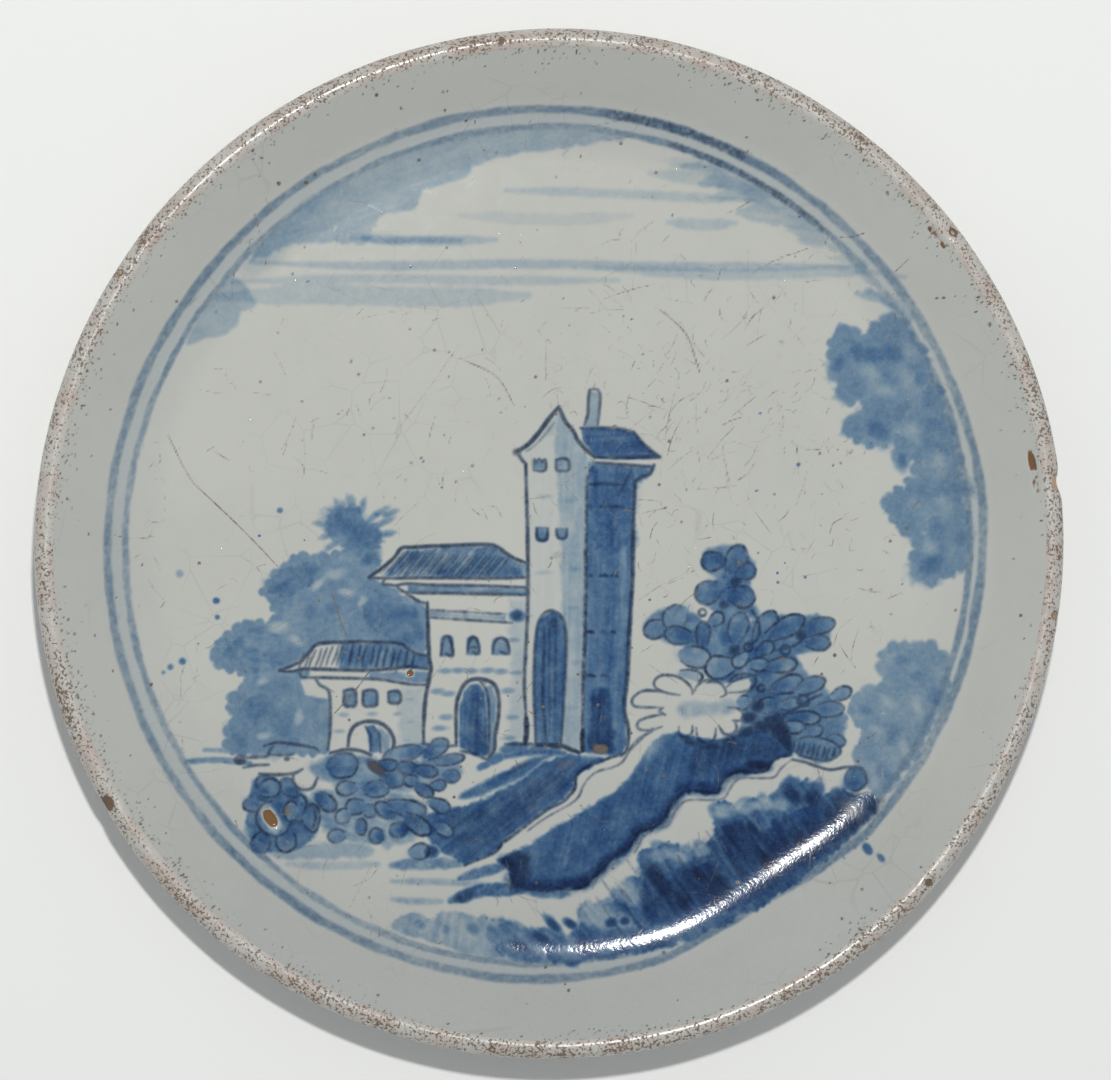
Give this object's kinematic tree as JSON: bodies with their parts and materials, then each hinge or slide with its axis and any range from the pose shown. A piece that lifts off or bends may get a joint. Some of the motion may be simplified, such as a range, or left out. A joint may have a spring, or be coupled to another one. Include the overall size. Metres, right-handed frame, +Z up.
{
  "type": "souvenir plate",
  "caption": "Round shallow dish of tin-glazed earthenware on a turned foot ring, with a landscape painted in cobalt blue inside two ring lines.",
  "frame": {"origin": "centre of the foot ring's resting face", "axes": "+Z up out of the well, +Y towards the top of the painted picture, +X to its right"},
  "size_m": [0.225, 0.225, 0.0217],
  "materials": {
    "bare_clay": "matt buff earthenware",
    "tin_glaze": "glossy grey-white tin glaze with fine ripple, crazing and pinholes",
    "worn_lip": "thin pinkish glaze, pitted and speckled brown",
    "drawing_cobalt": "near-black cobalt line under gloss",
    "deep_cobalt": "deep cobalt wash under gloss",
    "mid_cobalt": "mid cobalt wash under gloss",
    "pale_cobalt": "thin pale cobalt wash under gloss"
  },
  "bodies": {
    "root": {"clay_body": "bare_clay", "foot_ring": "bare_clay", "face_glaze": "tin_glaze", "lip_glaze": "worn_lip", "back_glaze": "tin_glaze", "base_glaze": "tin_glaze", "outer_ring_line": "pale_cobalt", "inner_ring_line": "pale_cobalt", "sky_wash_left": "pale_cobalt", "sky_wash_right": "pale_cobalt", "sky_streaks": "pale_cobalt", "far_tree_upper": "mid_cobalt", "far_tree_lower": "pale_cobalt", "left_tree_crown": "mid_cobalt", "left_tree": "pale_cobalt", "tower_roof": "deep_cobalt", "tower_side": "deep_cobalt", "tower_front_shade": "pale_cobalt", "tower_door": "mid_cobalt", "tower_outline": "drawing_cobalt", "house_roof": "mid_cobalt", "house_band": "deep_cobalt", "house_door": "mid_cobalt", "house_outline": "drawing_cobalt", "gate_roof": "mid_cobalt", "gate_arch": "mid_cobalt", "gate_outline": "drawing_cobalt", "shrub": "mid_cobalt", "bush": "mid_cobalt", "near_bank": "deep_cobalt", "middle_bank": "deep_cobalt", "dark_foliage": "deep_cobalt", "ground_strokes": "mid_cobalt", "bank_outline": "drawing_cobalt", "paint_spots": "mid_cobalt"}
  },
  "joints": []
}
